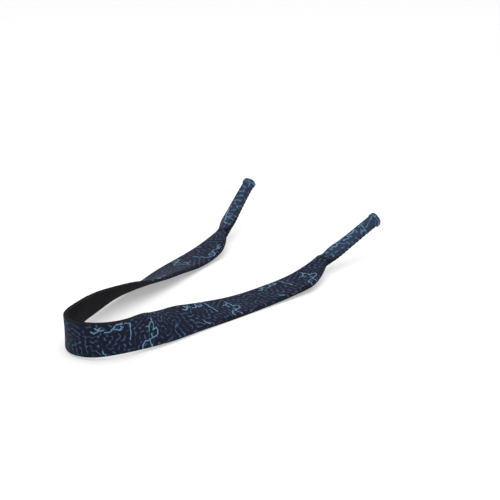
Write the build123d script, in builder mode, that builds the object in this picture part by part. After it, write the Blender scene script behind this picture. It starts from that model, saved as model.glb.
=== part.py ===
"""Neoprene eyewear retainer strap.

One flat strip of laminate (printed jersey, foam core, jersey lining) runs round the wearer's
neck. At each end a narrow tab is folded over and seamed into a sleeve that grips the tip of a
spectacle temple. The strap lies as it does when worn glasses are set down: both legs nearly flat
with the print up, the far turn standing on its edge, and the sleeves rising to the temples.

The strip's own frame, at any place along it: x across the strip towards the edge that becomes
the sleeve's fold, y out of the printed face, z along the strip towards the sleeve's mouth.
"""
import os
from bisect import bisect_left
from math import cos, radians, sin

from build123d import *

# Driving dimensions, millimetres
BAND_WIDTH = 25.0
FACE = 0.4  # printed jersey
FOAM = 2.0  # closed-cell foam core
LINING = 0.4  # plain jersey
THICKNESS = FACE + FOAM + LINING

SLEEVE_LENGTH = 61.0
SLEEVE_HEIGHT = 9.8
SLEEVE_DEPTH = 7.6
SLEEVE_CORNER = 3.0
BORE_RADIUS = 2.0  # the foam closes to this round a temple tip

SHOULDER_LENGTH = 36.0  # over which the band narrows to the sleeve
SHOULDER_POWER = 1.42
FLEX_FROM_NOTCH = 12.0  # where the sleeve bends against the band
FLEX_GAP = 1.0  # clearance that stands in for the bending laminate
SECTION_STEP = 12.0  # between the sections of a lofted layer

STITCH_PITCH = 4.0
STITCH_WIDTH = 0.9
STITCH_BUILD = 0.4  # how far the thread stands off the fabric
STITCH_REACH = 2.2  # how far a wrap reaches in from the seam's edge
CHAIN_RADIUS = 0.45
HEM_LENGTH = 3.5
HEM_BUILD = 0.4
TACK_SIZE = (4.4, 0.5, 1.6)  # across, standing off the print, along the strip

# The band's centre line as it lies, from the left notch round to the right one:
# x, y, z and the lean in degrees (0 stands on edge, 90 lies flat with the print up).
COURSE = [
    (-38.4, 72.0, 13.6, 65),
    (-31.8, 48.0, 4.6, 84),
    (-23.0, 17.5, 2.5, 89),
    (-13.0, -10.5, 5.5, 78),
    (-3.0, -37.0, 5.5, 67),
    (3.5, -61.5, 10.0, 54),
    (12.0, -85.0, 11.5, 38),
    (20.5, -106.5, 13.5, 28),
    (32.0, -124.5, 14.0, 18),
    (45.0, -143.5, 13.5, -6),
    (69.0, -141.0, 14.5, -13),
    (81.5, -120.0, 15.5, -20),
    (77.0, -96.0, 15.5, 7),
    (67.7, -70.5, 8.3, 64),
    (66.0, -38.0, 4.7, 76),
    (65.0, -6.0, 2.3, 88),
    (65.5, 24.5, 3.5, 89),
    (66.0, 52.0, 5.5, 93),
    (64.0, 80.0, 11.3, 90),
]
SHIFT = Vector(-5.97, 2.69, -0.047)  # puts the origin under the middle of the whole strap

# Each sleeve's direction in degrees: turned from +Y towards -X, and raised from the level
HEADING = {"left": 23.6, "right": -0.4}
RISE = {"left": 28.1, "right": 20.4}
SIDE_SIGN = {"left": -1, "right": 1}

FOLD_X = BAND_WIDTH / 2
SEAM_X = FOLD_X - SLEEVE_HEIGHT
SLEEVE_X = FOLD_X - SLEEVE_HEIGHT / 2
SLEEVE_Y = (THICKNESS - SLEEVE_DEPTH) / 2
LAYERS = {
    "printed_face": (THICKNESS / 2 - FACE, THICKNESS / 2),
    "foam": (LINING - THICKNESS / 2, THICKNESS / 2 - FACE),
    "lining": (-THICKNESS / 2, LINING - THICKNESS / 2),
}


def course_row(station):
    """x, y, z and lean at a station number, on a uniform cubic B-spline of the COURSE."""
    last = len(COURSE) - 1
    before = [2 * a - b for a, b in zip(COURSE[0], COURSE[1])]
    after = [2 * a - b for a, b in zip(COURSE[last], COURSE[last - 1])]
    rows = [before, *COURSE, after]
    start = min(int(station), last - 1)
    f = station - start
    weights = (
        (1 - f) ** 3 / 6,
        (3 * f**3 - 6 * f**2 + 4) / 6,
        (-3 * f**3 + 3 * f**2 + 3 * f + 1) / 6,
        f**3 / 6,
    )
    return [sum(w * row[k] for w, row in zip(weights, rows[start : start + 4])) for k in range(4)]


def course_point(station):
    x, y, z, _ = course_row(station)
    return Vector(x, y, z) + SHIFT


# Station numbers against the distance along the band
FINE = 50
STATIONS = [i / FINE for i in range((len(COURSE) - 1) * FINE + 1)]
DISTANCES = [0.0]
for low, high in zip(STATIONS, STATIONS[1:]):
    DISTANCES.append(DISTANCES[-1] + (course_point(high) - course_point(low)).length)
BAND_LENGTH = DISTANCES[-1]


def station_at(distance):
    i = min(max(bisect_left(DISTANCES, distance), 1), len(DISTANCES) - 1)
    part = (distance - DISTANCES[i - 1]) / (DISTANCES[i] - DISTANCES[i - 1])
    return STATIONS[i - 1] + part / FINE


def sleeve_direction(side):
    heading = radians(HEADING[side])
    rise = radians(RISE[side])
    return Vector(-sin(heading) * cos(rise), cos(heading) * cos(rise), sin(rise))


def strip_plane(side, from_notch):
    """The strip's own frame at a distance behind one side's notch."""
    sign = SIDE_SIGN[side]
    station = station_at(BAND_LENGTH - from_notch if sign > 0 else from_notch)
    step = 0.01
    last = len(COURSE) - 1
    forward = course_point(min(station + step, last)) - course_point(max(station - step, 0))
    forward = forward.normalized()
    outward = forward.cross(Vector(0, 0, 1)).normalized()
    upward = outward.cross(forward)
    lean = radians(course_row(station)[3])
    across = upward * cos(lean) - outward * sin(lean)
    along = sleeve_direction(side) if from_notch <= 0 else forward * sign
    return Plane(origin=course_point(station), x_dir=across * sign, z_dir=along)


def free_edge(from_notch):
    """The x of the band's shouldered edge, which curves in to the seam at the notch."""
    left = max(1 - from_notch / SHOULDER_LENGTH, 0)
    return -FOLD_X + (SEAM_X + FOLD_X) * left**SHOULDER_POWER


def section_places(start, end):
    count = max(round(abs(end - start) / SECTION_STEP), 3)
    return [start + (end - start) * i / count for i in range(count + 1)]


def strip_section(side, from_notch, layer):
    """One layer's rectangle across the strip."""
    low_y, high_y = LAYERS[layer]
    low_x = free_edge(from_notch)
    with BuildSketch(strip_plane(side, from_notch)) as section:
        with Locations(((low_x + FOLD_X) / 2, (low_y + high_y) / 2)):
            Rectangle(FOLD_X - low_x, high_y - low_y)
    return section.sketch


def sleeve_plane(side, from_notch=0.0):
    """The frame of the sleeve's axis, at a distance from the notch towards the mouth."""
    base = strip_plane(side, 0)
    middle = base.from_local_coords(Vector(SLEEVE_X, SLEEVE_Y, from_notch))
    return Plane(origin=middle, x_dir=base.x_dir, z_dir=base.z_dir)


def sleeve_ring(layer):
    """One layer's closed section in the sleeve, in the sketch that is open."""
    if layer == "printed_face":
        RectangleRounded(SLEEVE_HEIGHT, SLEEVE_DEPTH, SLEEVE_CORNER)
    if layer in ("printed_face", "foam"):
        mode = Mode.ADD if layer == "foam" else Mode.SUBTRACT
        RectangleRounded(SLEEVE_HEIGHT - 2 * FACE, SLEEVE_DEPTH - 2 * FACE, SLEEVE_CORNER - FACE, mode=mode)
    if layer in ("foam", "lining"):
        mode = Mode.ADD if layer == "lining" else Mode.SUBTRACT
        Circle(BORE_RADIUS + LINING, mode=mode)
    if layer == "lining":
        Circle(BORE_RADIUS, mode=Mode.SUBTRACT)


def build_band_layer(side, layer):
    """Half of the band, from the middle of the strap to the flex line behind the notch."""
    places = section_places(BAND_LENGTH / 2 - FLEX_GAP / 2, FLEX_FROM_NOTCH + FLEX_GAP / 2)
    with BuildPart() as band_layer:
        loft([strip_section(side, place, layer) for place in places])
    return band_layer.part


def build_sleeve_layer(side, layer):
    """The tab beyond the flex line, folded and closed into a sleeve."""
    places = section_places(FLEX_FROM_NOTCH - FLEX_GAP / 2, 0)
    with BuildPart() as sleeve_layer:
        loft([strip_section(side, place, layer) for place in places])
        with BuildSketch(sleeve_plane(side)):
            sleeve_ring(layer)
        extrude(amount=SLEEVE_LENGTH)
    return sleeve_layer.part


def build_seam(side):
    """Overlock thread: wraps over the closed edge, joined by a chain along it."""
    count = int((SLEEVE_LENGTH - HEM_LENGTH) // STITCH_PITCH)
    cover = 2 * STITCH_BUILD
    with BuildPart() as seam:
        for i in range(count):
            with BuildSketch(sleeve_plane(side, (i + 0.4) * STITCH_PITCH)):
                RectangleRounded(SLEEVE_HEIGHT + cover, SLEEVE_DEPTH + cover, SLEEVE_CORNER + STITCH_BUILD)
                RectangleRounded(SLEEVE_HEIGHT, SLEEVE_DEPTH, SLEEVE_CORNER, mode=Mode.SUBTRACT)
                with Locations((-SLEEVE_HEIGHT / 2, 0)):
                    Rectangle(2 * STITCH_REACH, 2 * SLEEVE_DEPTH, mode=Mode.INTERSECT)
            extrude(amount=STITCH_WIDTH)
        with BuildSketch(sleeve_plane(side, 0.4 * STITCH_PITCH)):
            with Locations((-SLEEVE_HEIGHT / 2 - CHAIN_RADIUS, 0)):
                Circle(CHAIN_RADIUS)
        extrude(amount=(count - 1) * STITCH_PITCH + STITCH_WIDTH)
    return seam.part


def build_hem(side):
    """The stitched lip round the sleeve's mouth."""
    cover = 2 * HEM_BUILD
    with BuildPart() as hem:
        with BuildSketch(sleeve_plane(side, SLEEVE_LENGTH - HEM_LENGTH)):
            RectangleRounded(SLEEVE_HEIGHT + cover, SLEEVE_DEPTH + cover, SLEEVE_CORNER + HEM_BUILD)
            RectangleRounded(SLEEVE_HEIGHT, SLEEVE_DEPTH, SLEEVE_CORNER, mode=Mode.SUBTRACT)
        extrude(amount=HEM_LENGTH)
    return hem.part


def build_tack(side):
    """The bar tack that locks the seam's end, on the printed face at the notch."""
    across, height, along = TACK_SIZE
    tack_plane = strip_plane(side, 0).offset(along)
    with BuildPart() as tack:
        with BuildSketch(tack_plane):
            with Locations((SLEEVE_X, (THICKNESS + height) / 2)):
                Rectangle(across, height)
        extrude(amount=along)
    return tack.part


def save(part, name):
    part.label = name
    export_step(part, f"parts/{name}.step")


os.makedirs("parts", exist_ok=True)
for side in SIDE_SIGN:
    for layer in LAYERS:
        save(build_band_layer(side, layer), f"{side}_band_{layer}")
        save(build_sleeve_layer(side, layer), f"{side}_sleeve_{layer}")
    save(build_seam(side), f"{side}_sleeve_seam_thread")
    save(build_hem(side), f"{side}_mouth_hem")
    save(build_tack(side), f"{side}_notch_bar_tack")
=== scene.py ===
"""Looks for the neoprene eyewear retainer strap.

The strap is one laminate panel: printed jersey outside, foam core, plain jersey inside. Its ends
fold into sleeves, closed by overlock thread. The strip's own frame, as in the CAD: x across
towards the edge that becomes the sleeve's fold, y out of the print, z towards the sleeve's mouth.
Lengths here are millimetres until a mesh is made.
"""

import functools
import math

import bpy
import numpy as np
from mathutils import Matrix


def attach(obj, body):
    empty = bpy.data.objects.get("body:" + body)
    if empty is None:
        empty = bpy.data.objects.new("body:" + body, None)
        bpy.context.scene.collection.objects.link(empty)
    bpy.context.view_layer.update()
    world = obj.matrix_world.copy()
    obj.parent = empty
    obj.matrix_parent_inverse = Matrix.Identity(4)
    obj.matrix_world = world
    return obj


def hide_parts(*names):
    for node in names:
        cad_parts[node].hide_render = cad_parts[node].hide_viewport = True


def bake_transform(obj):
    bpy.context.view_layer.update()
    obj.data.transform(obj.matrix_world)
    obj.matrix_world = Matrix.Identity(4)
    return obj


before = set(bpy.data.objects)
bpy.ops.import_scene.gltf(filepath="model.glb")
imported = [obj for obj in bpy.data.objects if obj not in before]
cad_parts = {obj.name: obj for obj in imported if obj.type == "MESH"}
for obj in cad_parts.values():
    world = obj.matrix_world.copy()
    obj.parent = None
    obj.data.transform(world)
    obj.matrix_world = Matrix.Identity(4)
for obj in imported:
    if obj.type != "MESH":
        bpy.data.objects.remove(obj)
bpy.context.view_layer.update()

MM = 0.001

# The laminate and the panel's outline, as in the CAD
BAND_WIDTH = 25.0
FACE = 0.4
FOAM = 2.0
LINING = 0.4
THICKNESS = FACE + FOAM + LINING
SLEEVE_LENGTH = 61.0
SLEEVE_HEIGHT = 9.8
SLEEVE_DEPTH = 7.6
BORE_RADIUS = 2.0
SHOULDER_LENGTH = 36.0
SHOULDER_POWER = {"left": 2.0, "right": 1.34}  # the CAD has 1.42 on both; each leg lies its own way
HEM_LENGTH = 3.5
HEM_BUILD = 0.4
TACK_SIZE = (4.4, 1.6)  # across the strip and along it

FOLD_X = BAND_WIDTH / 2
SEAM_X = FOLD_X - SLEEVE_HEIGHT
SLEEVE_X = FOLD_X - SLEEVE_HEIGHT / 2
SLEEVE_Y = (THICKNESS - SLEEVE_DEPTH) / 2
HALF_HEIGHT = SLEEVE_HEIGHT / 2
HALF_DEPTH = SLEEVE_DEPTH / 2
SEAM_HALF_DEPTH = 1.3  # the two layers, pressed together by the thread
FOLD_ROUND = 3.4
MORPH_LENGTH = 6.0  # over which the flat strip closes up into the sleeve

# The laminate is pressed thinner along its cut edges, less so towards the neck
EDGE_ROUND = 1.6
EDGE_PRESS = (0.55, 0.2)  # at the shouldered edge, and at the fold's
NECK_PRESS = 0.35  # the share of it that is left round the neck

# Where the right leg's top edge rolls back: distance from the middle of the strap, reach and size
KNEE_MIDDLE = 64.0
KNEE_REACH = 40.0
KNEE_ROLL = 3.6

# The print is larger on the sleeves, and drifts along the strap at one place
SLEEVE_PRINT_SCALE = 0.72
DRIFT_SIZE = 7.5
DRIFT_MIDDLE = 113.0
DRIFT_SPREAD = 24.0

NECK_HALF = 42.0  # the stretch of strap, each way from the middle, that goes round the neck loop
ROW_STEP = 1.5
SLEEVE_STEP = 0.5

# The band's centre line as it lies, from the left notch round to the right one, as in the CAD:
# x, y, z and the lean in degrees (0 stands on edge, 90 lies flat with the print up).
COURSE = [
    (-38.4, 72.0, 13.6, 65),
    (-31.8, 48.0, 4.6, 84),
    (-23.0, 17.5, 2.5, 89),
    (-13.0, -10.5, 5.5, 78),
    (-3.0, -37.0, 5.5, 67),
    (3.5, -61.5, 10.0, 54),
    (12.0, -85.0, 11.5, 38),
    (20.5, -106.5, 13.5, 28),
    (32.0, -124.5, 14.0, 18),
    (45.0, -143.5, 13.5, -6),
    (69.0, -141.0, 14.5, -13),
    (81.5, -120.0, 15.5, -20),
    (77.0, -96.0, 15.5, 7),
    (67.7, -70.5, 8.3, 64),
    (66.0, -38.0, 4.7, 76),
    (65.0, -6.0, 2.3, 88),
    (65.5, 24.5, 3.5, 89),
    (66.0, 52.0, 5.5, 93),
    (64.0, 80.0, 11.3, 90),
]
SHIFT = np.array([-5.97, 2.69, -0.047])
HEADING = {"left": 23.6, "right": -0.4}
RISE = {"left": 28.1, "right": 20.4}

# How the soft sleeve departs from the straight one: it turns to lie flat on the temple, degrees;
# it bows sideways; and its section is scaled, at the root and at the mouth.
SLEEVE_TWIST = {"left": 42.0, "right": 50.0}
SLEEVE_BOW = {"left": (1.4, -0.1), "right": (-0.2, 0.2)}
SLEEVE_SIZE = {"left": (1.1, 0.94), "right": (1.0, 0.97)}
SIDE_SIGN = {"left": -1, "right": 1}

CAMERA_PLACE = (619.9, -525.3, 305.5)
CAMERA_TURN = 46.8  # degrees from +Y towards -X
CAMERA_DIP = 19.04  # degrees below the level
CAMERA_LENS = 86.4  # mm, on a 36 mm sensor


# ---------------------------------------------------------------- the strap's course

def unit(v):
    return v / np.linalg.norm(v)


def smooth(t):
    t = min(max(t, 0.0), 1.0)
    return t * t * (3 - 2 * t)


def course_row(station):
    """x, y, z and lean at a station number, on a uniform cubic B-spline of the COURSE."""
    table = np.array(COURSE, float)
    last = len(table) - 1
    rows = np.vstack([2 * table[0] - table[1], table, 2 * table[last] - table[last - 1]])
    start = min(int(station), last - 1)
    f = station - start
    weights = np.array([
        (1 - f) ** 3,
        3 * f**3 - 6 * f**2 + 4,
        -3 * f**3 + 3 * f**2 + 3 * f + 1,
        f**3,
    ]) / 6
    return weights @ rows[start:start + 4]


def course_point(station):
    return course_row(station)[:3] + SHIFT


FINE = 50
LAST_STATION = len(COURSE) - 1
STATIONS = np.linspace(0, LAST_STATION, LAST_STATION * FINE + 1)
POINTS = np.array([course_point(s) for s in STATIONS])
DISTANCES = np.concatenate([[0.0], np.cumsum(np.linalg.norm(np.diff(POINTS, axis=0), axis=1))])
BAND_LENGTH = DISTANCES[-1]


def sleeve_direction(side):
    heading = math.radians(HEADING[side])
    rise = math.radians(RISE[side])
    level = math.cos(rise)
    return np.array([-math.sin(heading) * level, math.cos(heading) * level, math.sin(rise)])


@functools.lru_cache(maxsize=None)
def strip_frame(side, from_notch):
    """Origin and x, y, z of the strip's own frame, at a distance behind one side's notch."""
    sign = SIDE_SIGN[side]
    distance = BAND_LENGTH - from_notch if sign > 0 else from_notch
    station = float(np.interp(distance, DISTANCES, STATIONS))
    step = 0.01
    forward = unit(
        course_point(min(station + step, LAST_STATION)) - course_point(max(station - step, 0))
    )
    outward = unit(np.cross(forward, [0, 0, 1]))
    upward = np.cross(outward, forward)
    lean = math.radians(course_row(station)[3])
    across = (upward * math.cos(lean) - outward * math.sin(lean)) * sign
    share = smooth(1 - from_notch / 8)
    along = unit(forward * sign * (1 - share) + sleeve_direction(side) * share)
    across = unit(across - along * (across @ along))
    return course_point(station), across, np.cross(along, across), along


def place(side, from_notch, x, y):
    """The point x, y of the strip's cross-section at a distance behind the notch."""
    origin, across, out, along = strip_frame(side, max(from_notch, 0))
    if from_notch >= 0:
        return origin + across * x + out * y
    beyond = -from_notch
    share = beyond / SLEEVE_LENGTH
    turn = math.radians(SLEEVE_TWIST[side]) * (0.75 * smooth(beyond / 26) + 0.25 * share)
    root, tip = SLEEVE_SIZE[side]
    size = 1 + (root - 1) * smooth(beyond / 14) + (tip - root) * smooth(share)
    bow = math.sin(math.pi * min(share, 1))
    c, s = math.cos(turn) * size, math.sin(turn) * size
    dx, dy = x - SLEEVE_X, y - SLEEVE_Y
    dx, dy = c * dx - s * dy, s * dx + c * dy
    dx += SLEEVE_BOW[side][0] * bow
    dy += SLEEVE_BOW[side][1] * bow
    return origin + across * (SLEEVE_X + dx) + out * (SLEEVE_Y + dy) + along * beyond


def free_edge(side, from_notch):
    """The x of the band's shouldered edge, which curves in to the seam at the notch."""
    left = max(1 - from_notch / SHOULDER_LENGTH, 0)
    return -FOLD_X + (SEAM_X + FOLD_X) * left ** SHOULDER_POWER[side]


# ---------------------------------------------------------------- the sleeve's section

STITCH_PITCH = 4.0
STITCH_START = 1.6
FLAT_COLUMNS = 14
ROUND_COLUMNS = 10


def front_columns():
    """Section x and y, from the seam's edge over the front to the fold's apex, once closed."""
    places = []
    flat_end = HALF_HEIGHT - FOLD_ROUND
    for i in range(FLAT_COLUMNS):
        x = -HALF_HEIGHT + (flat_end + HALF_HEIGHT) * (i / FLAT_COLUMNS) ** 1.6
        drop = max((-1.2 - x) / (HALF_HEIGHT - 1.2), 0)
        places.append((x, HALF_DEPTH - (HALF_DEPTH - SEAM_HALF_DEPTH) * drop**1.7))
    for i in range(ROUND_COLUMNS + 1):
        angle = math.pi / 2 * (1 - i / ROUND_COLUMNS)
        places.append((flat_end + FOLD_ROUND * math.cos(angle), HALF_DEPTH * math.sin(angle)))
    return places


FRONT = front_columns()
BACK = [(x, -y) for x, y in reversed(FRONT[:-1])]


def running_length(points):
    """The distance of each point along the line through them all."""
    return np.concatenate([[0], np.cumsum([math.dist(a, b) for a, b in zip(points, points[1:])])])


def scallop(beyond):
    """How far the seam's edge is drawn in, most at each wrap of thread."""
    phase = (beyond - STITCH_START) / STITCH_PITCH
    return 0.28 * (0.5 + 0.5 * math.cos(2 * math.pi * phase)) * smooth(beyond / 3)


def swell(from_notch):
    """How far the fold stands out where the temple's tip ends inside the sleeve."""
    return 1.1 * math.exp(-(((from_notch + 11) / 9) ** 2))


def sleeve_outer(beyond, inset=0.0):
    """Front and back points of the sleeve's outline beyond the notch, drawn in by inset."""
    closed = smooth(beyond / MORPH_LENGTH)
    pull = scallop(beyond) + 0.9 * (1 - smooth(beyond / 4))
    front = []
    for x, y in FRONT:
        edge = max(-x / HALF_HEIGHT, 0) ** 2
        flat_y = HALF_DEPTH - inset
        scale_y = (HALF_DEPTH - inset) / HALF_DEPTH
        scale_x = 1 + (swell(-beyond) - inset) / HALF_HEIGHT if x > 0 else 1
        front.append((x * scale_x + pull * edge, flat_y * (1 - closed) + y * scale_y * closed))
    back = []
    for x, y in BACK:
        edge = max(-x / HALF_HEIGHT, 0) ** 2
        scale_y = (HALF_DEPTH - inset) / HALF_DEPTH
        scale_x = 1 + (swell(-beyond) - inset) / HALF_HEIGHT if x > 0 else 1
        back.append((x * scale_x + pull * edge, y * scale_y))
    return front, back


def sleeve_bore(beyond, radius, flat_y):
    """Front and back points on a ring round the bore, matched one to one with the outline's."""
    closed = smooth(beyond / MORPH_LENGTH)
    front = []
    for x, y in FRONT:
        angle = math.atan2(y / HALF_DEPTH, x / HALF_HEIGHT)
        front.append((
            x * (1 - closed) + radius * math.cos(angle) * closed,
            flat_y * (1 - closed) + radius * math.sin(angle) * closed,
        ))
    back = []
    for x, y in BACK:
        angle = math.atan2(y / HALF_DEPTH, x / HALF_HEIGHT)
        back.append((radius * math.cos(angle), radius * math.sin(angle)))
    return front, back


# ---------------------------------------------------------------- mesh building

def pattern_place(uv):
    """Where a place on the flat panel falls in the print, which is larger on the sleeves."""
    u, v = uv
    beyond = max(abs(u) - BAND_LENGTH / 2, 0)
    growth = 1 - SLEEVE_PRINT_SCALE
    scale = 1 - growth * smooth(beyond / 8)
    shrink = growth * (beyond - 4 if beyond > 8 else beyond * smooth(beyond / 8) / 2)
    drift = DRIFT_SIZE * math.exp(-(((u - DRIFT_MIDDLE) / DRIFT_SPREAD) ** 2))
    return u - drift - math.copysign(shrink, u), v * scale


def make_piece(name, points, faces, uvs, material, sharp=35):
    """A mesh object from millimetre points, each with its place on the flat panel as its UV."""
    mesh = bpy.data.meshes.new(name)
    mesh.from_pydata([tuple(p * MM for p in point) for point in points], [], faces)
    mesh.update()
    for map_name, change in (("panel", tuple), ("pattern", pattern_place)):
        layer = mesh.uv_layers.new(name=map_name)
        changed = [change(uv) for uv in uvs]
        for loop in mesh.loops:
            layer.data[loop.index].uv = changed[loop.vertex_index]
    mesh.polygons.foreach_set("use_smooth", [True] * len(mesh.polygons))
    mesh.set_sharp_from_angle(angle=math.radians(sharp))
    mesh.materials.append(material)
    piece = bpy.data.objects.new(name, mesh)
    bpy.context.scene.collection.objects.link(piece)
    return piece


def thicken(outer, inner, faces, uvs):
    """Closes an outer surface and its inner twin with walls along every open edge."""
    count = len(outer)
    used = dict.fromkeys((a, b) for face in faces for a, b in zip(face, face[1:] + face[:1]))
    closed = list(faces)
    closed += [[i + count for i in reversed(face)] for face in faces]
    closed += [[b, a, a + count, b + count] for a, b in used if (b, a) not in used]
    return list(outer) + list(inner), closed, list(uvs) + list(uvs)


def grid_faces(rows, columns, index, flip):
    faces = []
    for r in range(rows - 1):
        for c in range(columns - 1):
            face = [index(r, c), index(r, c + 1), index(r + 1, c + 1), index(r + 1, c)]
            faces.append(face[::-1] if flip else face)
    return faces


def knee_roll(side, from_notch):
    """How far the top edge rolls back where the right leg turns from its edge to its flat."""
    away = (BAND_LENGTH / 2 - from_notch - KNEE_MIDDLE) / KNEE_REACH
    if side == "left" or abs(away) >= 1:
        return 0.0
    return KNEE_ROLL * math.cos(math.pi / 2 * away) ** 2


def press_share(x, left, right, from_notch):
    """How far the laminate is pressed near a cut edge, where the blade drew the print over the foam."""
    edge = 0 if x - left < right - x else 1
    away = min(min(x - left, right - x) / EDGE_ROUND, 1)
    share = EDGE_PRESS[edge] * (1 - math.sqrt(1 - (1 - away) ** 2)) * smooth((from_notch - 1) / 7)
    from_neck = smooth((BAND_LENGTH / 2 - from_notch - 50) / 40)
    return share * (NECK_PRESS + (1 - NECK_PRESS) * from_neck)


def band_row(side, from_notch, y_low, y_high, inset=0.0):
    """Outer and inner points across the band, with the flat panel's x for each."""
    left = free_edge(side, from_notch) + inset + 0.9 * (1 - smooth(from_notch / 2.5))
    right = FOLD_X - inset + swell(from_notch)
    shares = [(x + HALF_HEIGHT) / SLEEVE_HEIGHT for x, _ in FRONT]
    xs = [left + (right - left) * share for share in shares]
    roll = knee_roll(side, from_notch)
    outer, inner = [], []
    for x in xs:
        bent = roll * max(x / FOLD_X, 0) ** 2
        press = press_share(x, xs[0], xs[-1], from_notch)
        high = y_high - (y_high + THICKNESS / 2) * press
        low = y_low - (y_low + THICKNESS / 2) * press
        outer.append(place(side, from_notch, x - bent, high - 0.8 * bent))
        inner.append(place(side, from_notch, x - bent, low - 0.8 * bent))
    return outer, inner, xs


LAYERS = {
    "print": (THICKNESS / 2 - FACE, THICKNESS / 2),
    "foam": (LINING - THICKNESS / 2, THICKNESS / 2 - FACE),
    "lining": (-THICKNESS / 2, LINING - THICKNESS / 2),
}
FOAM_INSET = 0.12


def panel_u(side, from_notch):
    """Distance along the flat panel from the middle of the strap, one way for both sides."""
    return SIDE_SIGN[side] * (BAND_LENGTH / 2 - from_notch)


def build_neck(layer, material):
    """The stretch round the middle of the strap, made in the right side's frame."""
    y_low, y_high = LAYERS[layer]
    inset = FOAM_INSET if layer == "foam" else 0.0
    count = round(2 * NECK_HALF / ROW_STEP)
    outer, inner, uvs = [], [], []
    middle = BAND_LENGTH / 2
    for i in range(count + 1):
        from_notch = middle + NECK_HALF - 2 * NECK_HALF * i / count
        row_outer, row_inner, xs = band_row("right", from_notch, y_low, y_high, inset)
        outer += row_outer
        inner += row_inner
        uvs += [(panel_u("right", from_notch), x) for x in xs]
    columns = len(FRONT)
    faces = grid_faces(count + 1, columns, lambda r, c: r * columns + c, True)
    points, closed, coords = thicken(outer, inner, faces, uvs)
    return make_piece(f"neck_{layer}", points, closed, coords, material)


def sleeve_section(side, layer, beyond):
    """Outer and inner points of one layer round the closed sleeve."""
    if layer == "print":
        outer = sleeve_outer(beyond)
        inner = sleeve_outer(beyond, FACE)
    elif layer == "foam":
        outer = sleeve_outer(beyond, FACE)
        inner = sleeve_bore(beyond, BORE_RADIUS + LINING, LAYERS["foam"][0] - SLEEVE_Y)
    else:
        outer = sleeve_bore(beyond, BORE_RADIUS + LINING, LAYERS["lining"][1] - SLEEVE_Y)
        inner = sleeve_bore(beyond, BORE_RADIUS, LAYERS["lining"][0] - SLEEVE_Y)
    return [
        [place(side, -beyond, x + SLEEVE_X, y + SLEEVE_Y) for x, y in part]
        for part in (*outer, *inner)
    ]


def build_end(side, layer, material):
    """One end of the strap: the leg of the band, and the tab folded into the sleeve."""
    y_low, y_high = LAYERS[layer]
    inset = FOAM_INSET if layer == "foam" else 0.0
    outer, inner, uvs = [], [], []
    leg = BAND_LENGTH / 2 - NECK_HALF
    leg_rows = round(leg / ROW_STEP)
    for i in range(leg_rows):
        from_notch = leg * (1 - i / leg_rows)
        row_outer, row_inner, xs = band_row(side, from_notch, y_low, y_high, inset)
        outer += row_outer
        inner += row_inner
        uvs += [(panel_u(side, from_notch), SIDE_SIGN[side] * x) for x in xs]
    columns = len(FRONT)
    sleeve_rows = round(SLEEVE_LENGTH / SLEEVE_STEP)
    backs_outer, backs_inner, back_uvs = [], [], []
    around = running_length([FRONT[-1], *BACK])
    for i in range(sleeve_rows + 1):
        beyond = SLEEVE_LENGTH * i / sleeve_rows
        front, back, front_in, back_in = sleeve_section(side, layer, beyond)
        outer += front
        inner += front_in
        u = panel_u(side, -beyond)
        uvs += [(u, SIDE_SIGN[side] * (x + SLEEVE_X)) for x, _ in FRONT]
        backs_outer += back
        backs_inner += back_in
        back_uvs += [(u, SIDE_SIGN[side] * (FOLD_X + a)) for a in around[1:]]
    rows = leg_rows + sleeve_rows + 1
    flip = side == "right"
    faces = grid_faces(rows, columns, lambda r, c: r * columns + c, flip)
    base = rows * columns
    back_columns = len(BACK)

    def back_index(r, c):
        if c == 0:
            return (leg_rows + r) * columns + columns - 1
        return base + r * back_columns + c - 1

    faces += grid_faces(sleeve_rows + 1, back_columns + 1, back_index, flip)
    if layer != "print":
        def seam_index(r, c):
            return (leg_rows + r) * columns if c else back_index(r, back_columns)

        faces += grid_faces(sleeve_rows + 1, 2, seam_index, flip)
    outer += backs_outer
    inner += backs_inner
    points, closed, coords = thicken(outer, inner, faces, uvs + back_uvs)
    return make_piece(f"{side}_end_{layer}", points, closed, coords, material)


# ---------------------------------------------------------------- materials

REPEAT = 77.6  # the print's repeat along the strap

# The bright strokes of one repeat: millimetres along the repeat and across from the centre line.
MOTIF = [
    [(16.7, 7.4), (18.4, 6.3), (20.6, 7.2), (20.8, 8.7), (19.4, 9.8)],
    [(20.8, 8.7), (22.6, 10.4)],
    [(20.8, 8.7), (23.8, 8.3)],
    [(24.6, 6.9), (27.8, 6.7), (28.8, 8.7), (29.8, 10.8)],
    [(28.8, 8.7), (31.0, 7.7), (32.6, 7.0), (34.6, 8.5), (33.2, 10.4)],
    [(30.6, 11.6), (34.2, 11.8)],
    [(36.0, 11.4), (38.6, 10.7), (39.8, 8.0), (39.4, 5.0), (40.5, 1.6), (40.4, -2.4)],
    [(59.0, 6.8), (59.6, 4.4), (57.2, 3.3), (55.5, 2.0), (52.5, 2.5)],
    [(55.5, 2.0), (55.9, -1.3)],
    [(59.6, 4.4), (60.3, 1.6), (59.6, -1.2), (62.8, -1.3), (64.2, -3.1), (62.5, -5.8)],
    [(62.5, -5.8), (58.2, -6.4), (55.8, -7.2), (52.6, -7.0), (50.4, -9.6), (50.8, -12.0)],
    [(55.8, -7.2), (56.8, -10.0), (58.4, -12.0)],
    [(57.6, -3.4), (58.2, -6.4)],
    [(22.0, -7.5), (22.7, -9.5), (24.4, -11.2)],
]


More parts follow.
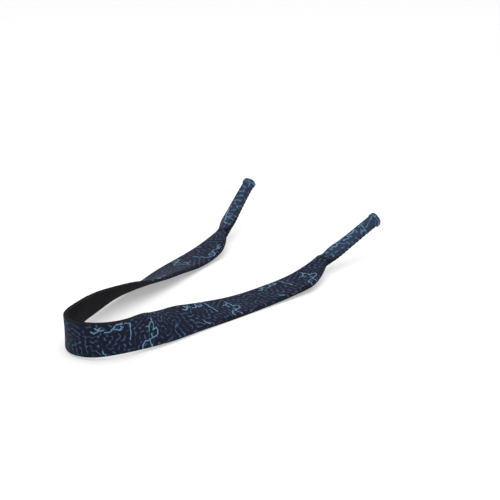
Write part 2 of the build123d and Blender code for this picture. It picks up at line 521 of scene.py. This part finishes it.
class Nodes:
    """One material's node tree, with short calls for the nodes the fabrics share."""

    def __init__(self, name, **sockets):
        self.material = bpy.data.materials.new(name)
        self.material.use_nodes = True
        self.tree = self.material.node_tree
        self.shader = self.tree.nodes["Principled BSDF"]
        for socket, value in sockets.items():
            self.shader.inputs[socket.replace("_", " ")].default_value = value

    def node(self, kind, *values, **settings):
        made = self.tree.nodes.new(kind)
        for name, value in settings.items():
            setattr(made, name, value)
        for socket, value in zip(made.inputs, values):
            self.set(socket, value)
        return made

    def set(self, socket, value):
        if isinstance(value, bpy.types.NodeSocket):
            self.tree.links.new(value, socket)
        elif value is not None:
            socket.default_value = value

    def uv(self, name):
        return self.node("ShaderNodeUVMap", uv_map=name).outputs[0]

    def math(self, operation, *values, clamp=False):
        return self.node("ShaderNodeMath", *values, operation=operation, use_clamp=clamp).outputs[0]

    def vector(self, operation, *values, scale=None, value=False):
        made = self.node("ShaderNodeVectorMath", *values, operation=operation)
        if scale is not None:
            self.set(made.inputs["Scale"], scale)
        return made.outputs["Value" if value else "Vector"]

    def step(self, value, low, high):
        """A smooth step from 0 at low to 1 at high."""
        made = self.node("ShaderNodeMapRange", interpolation_type="SMOOTHSTEP")
        self.set(made.inputs["Value"], value)
        made.inputs["From Min"].default_value = low
        made.inputs["From Max"].default_value = high
        return made.outputs["Result"]

    def noise(self, at, scale, detail=2.0):
        made = self.node("ShaderNodeTexNoise", noise_dimensions="2D")
        self.set(made.inputs["Vector"], at)
        made.inputs["Scale"].default_value = scale
        made.inputs["Detail"].default_value = detail
        return made.outputs["Fac"]

    def mix(self, share, low, high):
        made = self.node("ShaderNodeMix", data_type="RGBA")
        self.set(made.inputs["Factor"], share)
        self.set(made.inputs["A"], low)
        self.set(made.inputs["B"], high)
        return made.outputs["Result"]

    def colour(self, value):
        self.set(self.shader.inputs["Base Color"], value)

    def bump(self, height, distance, strength=1.0):
        made = self.node("ShaderNodeBump")
        made.inputs["Strength"].default_value = strength
        made.inputs["Distance"].default_value = distance * MM
        self.set(made.inputs["Height"], height)
        self.set(self.shader.inputs["Normal"], made.outputs[0])


def rgb(code):
    """Linear colour from a six-digit sRGB code."""
    parts = [int(code[i:i + 2], 16) / 255 for i in (0, 2, 4)]
    return (*[((c + 0.055) / 1.055) ** 2.4 if c > 0.04045 else c / 12.92 for c in parts], 1.0)


def knit_height(n, at, pitch):
    """Columns of V-shaped loops, as a height from 0 to 1."""
    split = n.node("ShaderNodeSeparateXYZ", at)
    column = n.math("PINGPONG", n.math("DIVIDE", split.outputs[1], pitch), 0.5)
    along = n.math("DIVIDE", split.outputs[0], pitch * 1.25)
    row = n.math("ADD", along, n.math("MULTIPLY", column, 1.2))
    loops = n.math("MULTIPLY_ADD", n.math("SINE", n.math("MULTIPLY", row, 2 * math.pi)), 0.25, 0.4)
    return n.math("ADD", loops, n.math("MULTIPLY", column, 0.9))


def stroke_distance(n, at):
    """Distance from the nearest of the motif's bright strokes."""
    nearest = None
    for stroke in MOTIF:
        for start, end in zip(stroke, stroke[1:]):
            run = (end[0] - start[0], end[1] - start[1], 0.0)
            square = run[0] ** 2 + run[1] ** 2
            offset = n.vector("SUBTRACT", at, (*start, 0.0))
            share = n.vector("DOT_PRODUCT", offset, (run[0] / square, run[1] / square, 0.0), value=True)
            foot = n.vector("SCALE", run, scale=n.math("ADD", share, 0.0, clamp=True))
            gap = n.vector("DISTANCE", offset, foot, value=True)
            nearest = gap if nearest is None else n.math("MINIMUM", nearest, gap)
    return nearest


def coral_strokes(n, at, on_sleeve):
    """Short winding strokes of one width, from a Gabor texture's phase."""
    made = n.node("ShaderNodeTexGabor", gabor_type="2D")
    n.set(made.inputs["Vector"], at)
    made.inputs["Scale"].default_value = 0.088
    n.set(made.inputs["Frequency"], n.math("MULTIPLY_ADD", on_sleeve, 0.3, 3.1))
    made.inputs["Anisotropy"].default_value = 0.0
    away = n.math("ABSOLUTE", n.math("SUBTRACT", made.outputs["Phase"], 0.5))
    line = n.math("SUBTRACT", 1.0, n.step(away, 0.075, 0.135))
    return n.math("MULTIPLY", line, n.step(made.outputs["Intensity"], 0.05, 0.1))


def printed_jersey():
    n = Nodes("printed_jersey", Roughness=0.8, Sheen_Weight=0.03, Sheen_Roughness=0.4)
    n.shader.inputs["Sheen Tint"].default_value = (0.75, 0.82, 1.0, 1.0)
    n.shader.inputs["Specular IOR Level"].default_value = 0.12
    flat = n.uv("pattern")
    drift = n.node("ShaderNodeTexNoise", noise_dimensions="2D")
    n.set(drift.inputs["Vector"], flat)
    drift.inputs["Scale"].default_value = 0.35
    drift.inputs["Detail"].default_value = 1.0
    centred = n.vector("SUBTRACT", drift.outputs["Color"], (0.5, 0.5, 0.5))
    flat = n.vector("ADD", flat, n.vector("MULTIPLY", centred, (1.6, 1.6, 0.0)))
    split = n.node("ShaderNodeSeparateXYZ", flat)
    along = n.math("FLOORED_MODULO", split.outputs[0], REPEAT)
    here = n.node("ShaderNodeCombineXYZ", along, split.outputs[1]).outputs[0]
    panel = n.uv("panel")
    reach = n.math("ABSOLUTE", n.node("ShaderNodeSeparateXYZ", panel).outputs[0])
    on_sleeve = n.step(reach, BAND_LENGTH / 2 - 4, BAND_LENGTH / 2 + 8)
    before = n.vector("SUBTRACT", here, (REPEAT, 0.0, 0.0))
    join = n.step(along, REPEAT - 8, REPEAT)
    late = n.math("MULTIPLY", coral_strokes(n, before, on_sleeve), join)
    early = n.math("MULTIPLY", coral_strokes(n, here, on_sleeve), n.math("SUBTRACT", 1.0, join))
    strokes = n.math("ADD", late, early)
    gap = stroke_distance(n, here)
    gap = n.math("MULTIPLY", gap, n.math("MULTIPLY_ADD", on_sleeve, 0.45, 1.0))
    bright = n.math("SUBTRACT", 1.0, n.step(gap, 0.36, 0.56))
    strokes = n.math("MULTIPLY", strokes, n.step(gap, 0.95, 1.35))
    life = n.step(n.noise(flat, 0.11), 0.32, 0.55)
    tint = n.step(n.noise(n.vector("ADD", flat, (40.0, 9.0, 0.0)), 0.13), 0.42, 0.6)
    dim = n.mix(tint, rgb("353e5e"), rgb("304a61"))
    dim = n.mix(life, rgb("23283c"), dim)
    dim = n.mix(on_sleeve, dim, n.mix(tint, rgb("485474"), rgb("49667c")))
    ground = n.mix(n.noise(flat, 0.3), rgb("070d1c"), rgb("0d1528"))
    ground = n.mix(on_sleeve, ground, rgb("253145"))
    colour = n.mix(strokes, ground, dim)
    glow = n.mix(n.noise(flat, 0.5), rgb("415f80"), rgb("66869b"))
    n.colour(n.mix(bright, colour, glow))
    n.bump(knit_height(n, panel, 0.62), 0.05, 0.6)
    return n.material


def lining_jersey():
    n = Nodes("lining_jersey", Roughness=0.85, Sheen_Weight=0.01, Sheen_Roughness=0.5)
    n.shader.inputs["Specular IOR Level"].default_value = 0.04
    panel = n.uv("panel")
    knit = knit_height(n, panel, 0.7)
    n.colour(n.mix(n.math("MULTIPLY", knit, n.noise(panel, 0.6)), rgb("0b0b10"), rgb("17171d")))
    n.bump(knit, 0.07, 0.8)
    return n.material


def foam_core():
    n = Nodes("foam_core", Roughness=0.9)
    n.shader.inputs["Specular IOR Level"].default_value = 0.15
    place_at = n.node("ShaderNodeTexCoord").outputs["Object"]
    cells = n.node("ShaderNodeTexVoronoi")
    n.set(cells.inputs["Vector"], place_at)
    cells.inputs["Scale"].default_value = 3200.0
    n.colour(n.mix(cells.outputs["Distance"], rgb("08080a"), rgb("1a1a1d")))
    n.bump(cells.outputs["Distance"], 0.12, 0.7)
    return n.material


def thread(name, dark, light):
    """Two-ply sewing thread; the UV map runs along the thread and round it."""
    n = Nodes(name, Roughness=0.7, Sheen_Weight=0.05)
    n.shader.inputs["Specular IOR Level"].default_value = 0.15
    split = n.node("ShaderNodeSeparateXYZ", n.uv("panel"))
    along = n.math("MULTIPLY", split.outputs[0], 9.0)
    twist = n.math("ADD", along, n.math("MULTIPLY", split.outputs[1], 2 * math.pi))
    ply = n.math("MULTIPLY_ADD", n.math("SINE", twist), 0.5, 0.5)
    n.colour(n.mix(ply, rgb(dark), rgb(light)))
    n.bump(ply, 0.06, 0.8)
    return n.material


def plain(name, colour, roughness):
    n = Nodes(name, Roughness=roughness)
    n.colour(colour)
    return n.material


# ---------------------------------------------------------------- threads

def make_threads(name, paths, radius, material, sides=8):
    """Round threads along lists of millimetre points, their ends rounded off."""
    points, faces, uvs = [], [], []
    for path in paths:
        path = [np.asarray(p, float) for p in path]
        heading = [unit(b - a) for a, b in zip(path, path[1:])]
        heading = [heading[0]] + [unit(a + b) for a, b in zip(heading, heading[1:])] + [heading[-1]]
        side = unit(np.cross(heading[0], [0.31, 0.87, 0.38]))
        rings = [(path[0] - heading[0] * radius * 0.7, heading[0], 0.55)]
        rings += [(p, h, 1.0) for p, h in zip(path, heading)]
        rings.append((path[-1] + heading[-1] * radius * 0.7, heading[-1], 0.55))
        base = len(points)
        run = 0.0
        last = rings[0][0]
        for centre, h, size in rings:
            side = unit(side - h * (side @ h))
            other = np.cross(h, side)
            run += float(np.linalg.norm(centre - last))
            last = centre
            for k in range(sides):
                angle = 2 * math.pi * k / sides
                spoke = math.cos(angle) * side + math.sin(angle) * other
                points.append(centre + radius * size * spoke)
                uvs.append((run, k / sides))
        count = len(rings)
        for r in range(count - 1):
            for k in range(sides):
                a, b = base + r * sides + k, base + r * sides + (k + 1) % sides
                faces.append([a, b, b + sides, a + sides])
        faces.append([base + k for k in reversed(range(sides))])
        faces.append([base + (count - 1) * sides + k for k in range(sides)])
    return make_piece(name, points, faces, uvs, material, sharp=70)


def outline_at(beyond, share, lift=0.0):
    """x, y on the sleeve's outline; share runs 0 to 1 from the seam over the front to the fold,
    and 0 to -1 over the back."""
    front, back = sleeve_outer(beyond, -lift)
    whole = front if share >= 0 else [front[0], *back[::-1], front[-1]]
    steps = running_length(whole)
    at = abs(share) * steps[-1]
    return [float(np.interp(at, steps, values)) for values in zip(*whole)]


def on_sleeve(side, beyond, share, lift=0.0):
    x, y = outline_at(beyond, share, lift)
    return place(side, -beyond, x + SLEEVE_X, y + SLEEVE_Y)


def seam_paths(side):
    """Overlock: two slanting wraps over the seam's edge at each pitch, and the needle lines."""
    paths = []
    beyond = STITCH_START
    while beyond < SLEEVE_LENGTH - HEM_LENGTH - 1:
        for slant, lift in ((0.2, 0.16), (1.9, 0.24)):
            wrap = []
            for i in range(13):
                t = i / 12
                around = math.cos(math.pi * t)
                reach = 0.17 * abs(around)
                share = reach if around >= 0 else -reach
                edge_lift = lift + 0.12 * (1 - abs(around))
                x, y = outline_at(beyond, share)
                if abs(around) < 0.35:
                    y = y * around / 0.35
                x -= edge_lift * (1 - abs(around)) * 1.2
                y += lift * around
                wrap.append(place(side, -(beyond + slant * (t - 0.5)), x + SLEEVE_X, y + SLEEVE_Y))
            paths.append(wrap)
        for share in (0.18, -0.18):
            lifts = (0.1, 0.18, 0.18, 0.18, 0.1)
            needle = [
                on_sleeve(side, beyond + 0.4 + 0.8 * i, share, lift) for i, lift in enumerate(lifts)
            ]
            paths.append(needle)
        beyond += STITCH_PITCH
    return paths


def hem_paths(side):
    """Two rows of slanting stitches round the mouth."""
    paths = []
    for row, beyond in enumerate((SLEEVE_LENGTH - 2.7, SLEEVE_LENGTH - 0.7)):
        for k in range(11):
            start = -1 + (2 * k + row * 0.9) / 11
            stitch = []
            for i in range(5):
                share = start + 0.125 * i / 4
                share = share - 2 if share > 1 else share
                slant = 0.35 * (i / 4 - 0.5) * (1 if row else -1)
                stitch.append(on_sleeve(side, beyond + slant, share, HEM_BUILD + 0.1))
            paths.append(stitch)
    return paths


def knot_paths(side):
    """The seam's thread tail, wrapped over the hem's corner."""
    paths = []
    for k in range(5):
        beyond = SLEEVE_LENGTH - 3.2 + 0.55 * k
        wrap = []
        for i in range(11):
            angle = math.pi * (0.5 + i / 10)
            x = -HALF_HEIGHT + 0.5 + 1.25 * math.cos(angle)
            y = 2.1 * math.sin(angle) + (0.25 if k % 2 else -0.1)
            wander = 0.25 * math.sin(3 * angle + k)
            wrap.append(place(side, -(beyond + wander), x + SLEEVE_X, y + SLEEVE_Y))
        paths.append(wrap)
    return paths


def tack_path(side):
    """Dense zigzag across the strip at the notch."""
    width, length = TACK_SIZE
    turns = 18
    path = []
    for k in range(turns + 1):
        end_x = SLEEVE_X + width / 2 * (-1 if k % 2 else 1)
        beyond = -0.3 + length * k / turns
        path.append(place(side, -beyond, end_x, THICKNESS / 2 + 0.12))
        path.append(place(side, -beyond, SLEEVE_X, THICKNESS / 2 + 0.28))
    return path


# The hem's section: distance from its inner end, and how far it stands off the sleeve
HEM_PROFILE = [
    (-0.1, 0.0),
    (0.05, 0.25),
    (0.6, 0.42),
    (1.6, 0.46),
    (2.7, 0.44),
    (3.4, 0.28),
    (3.62, -0.1),
    (3.5, -0.4),
    (3.3, -0.42),
    (0.2, -0.3),
]


def build_hem(side, material):
    """The turned lip that stands proud round the sleeve's mouth."""
    points, uvs = [], []
    shares = [s / 24 for s in range(-24, 24)]
    start = SLEEVE_LENGTH - HEM_LENGTH
    for beyond, lift in HEM_PROFILE:
        for share in shares:
            points.append(on_sleeve(side, start + beyond, share, lift))
            uvs.append((panel_u(side, -start - beyond), 12 * share))
    rows, columns = len(HEM_PROFILE), len(shares)
    faces = []
    for r in range(rows):
        for c in range(columns):
            d, q = (r + 1) % rows, (c + 1) % columns
            face = [r * columns + c, r * columns + q, d * columns + q, d * columns + c]
            faces.append(face if side == "right" else face[::-1])
    return make_piece(f"{side}_hem", points, faces, uvs, material)


# ---------------------------------------------------------------- the strap's pieces

MATERIALS = {"print": printed_jersey(), "foam": foam_core(), "lining": lining_jersey()}
NODES = {"print": "printed_face", "foam": "foam", "lining": "lining"}
NAVY_THREAD = thread("navy_thread", "0c0e1a", "191d30")
PALE_THREAD = thread("pale_thread", "2f5466", "6c98ab")


def metres(point):
    return tuple(float(c) * MM for c in point)


def declare(layer):
    if layer == "foam":
        return


def add_laminate():
    for layer, material in MATERIALS.items():
        neck = build_neck(layer, material)
        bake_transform(neck)
        declare(layer)
        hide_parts(f"left_band_{NODES[layer]}", f"right_band_{NODES[layer]}")
        for side in SIDE_SIGN:
            end = build_end(side, layer, material)
            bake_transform(end)
            declare(layer)
            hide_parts(f"{side}_sleeve_{NODES[layer]}")


def add_stitching():
    for side in SIDE_SIGN:
        seam = make_threads(f"{side}_seam", seam_paths(side), 0.2, NAVY_THREAD)
        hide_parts(f"{side}_sleeve_seam_thread")
        hem = build_hem(side, MATERIALS["print"])
        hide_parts(f"{side}_mouth_hem")
        rows = make_threads(f"{side}_hem_stitches", hem_paths(side), 0.24, PALE_THREAD)
        knot = make_threads(f"{side}_seam_tail", knot_paths(side), 0.3, PALE_THREAD)
        tack = make_threads(f"{side}_tack", [tack_path(side)], 0.19, NAVY_THREAD)
        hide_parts(f"{side}_notch_bar_tack")
        for piece in (seam, hem, rows, knot, tack):
            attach(piece, f"{side}_sleeve")


def add_stage():
    scene = bpy.context.scene
    scene.view_settings.view_transform = "Standard"
    mesh = bpy.data.meshes.new("floor")
    corners = [(-6, -6, 0), (6, -6, 0), (6, 6, 0), (-6, 6, 0)]
    mesh.from_pydata(corners, [], [[0, 1, 2, 3]])
    white = plain("floor", (0.62, 0.62, 0.62, 1), 0.8)
    shader = white.node_tree.nodes["Principled BSDF"]
    shader.inputs["Emission Color"].default_value = (1, 1, 1, 1)
    shader.inputs["Emission Strength"].default_value = 0.35
    mesh.materials.append(white)
    floor = bpy.data.objects.new("floor", mesh)
    scene.collection.objects.link(floor)
    world = bpy.data.worlds.new("studio")
    world.use_nodes = True
    background = world.node_tree.nodes["Background"]
    background.inputs["Color"].default_value = (1, 1, 1, 1)
    background.inputs["Strength"].default_value = 0.9
    scene.world = world
    light = bpy.data.lights.new("softbox", "AREA")
    light.energy = 12
    light.size = 1.2
    lamp = bpy.data.objects.new("softbox", light)
    lamp.location = (0.5, -0.3, 1.3)
    lamp.rotation_euler = (math.radians(15), math.radians(20), 0)
    scene.collection.objects.link(lamp)


def add_camera():
    lens = bpy.data.cameras.new("camera")
    lens.sensor_width = 36
    lens.lens = CAMERA_LENS
    lens.clip_start = 0.01
    camera = bpy.data.objects.new("camera", lens)
    camera.location = metres(CAMERA_PLACE)
    camera.rotation_euler = (math.radians(90 - CAMERA_DIP), 0, math.radians(CAMERA_TURN))
    bpy.context.scene.collection.objects.link(camera)
    bpy.context.scene.camera = camera


add_camera()
add_stage()
add_laminate()
add_stitching()
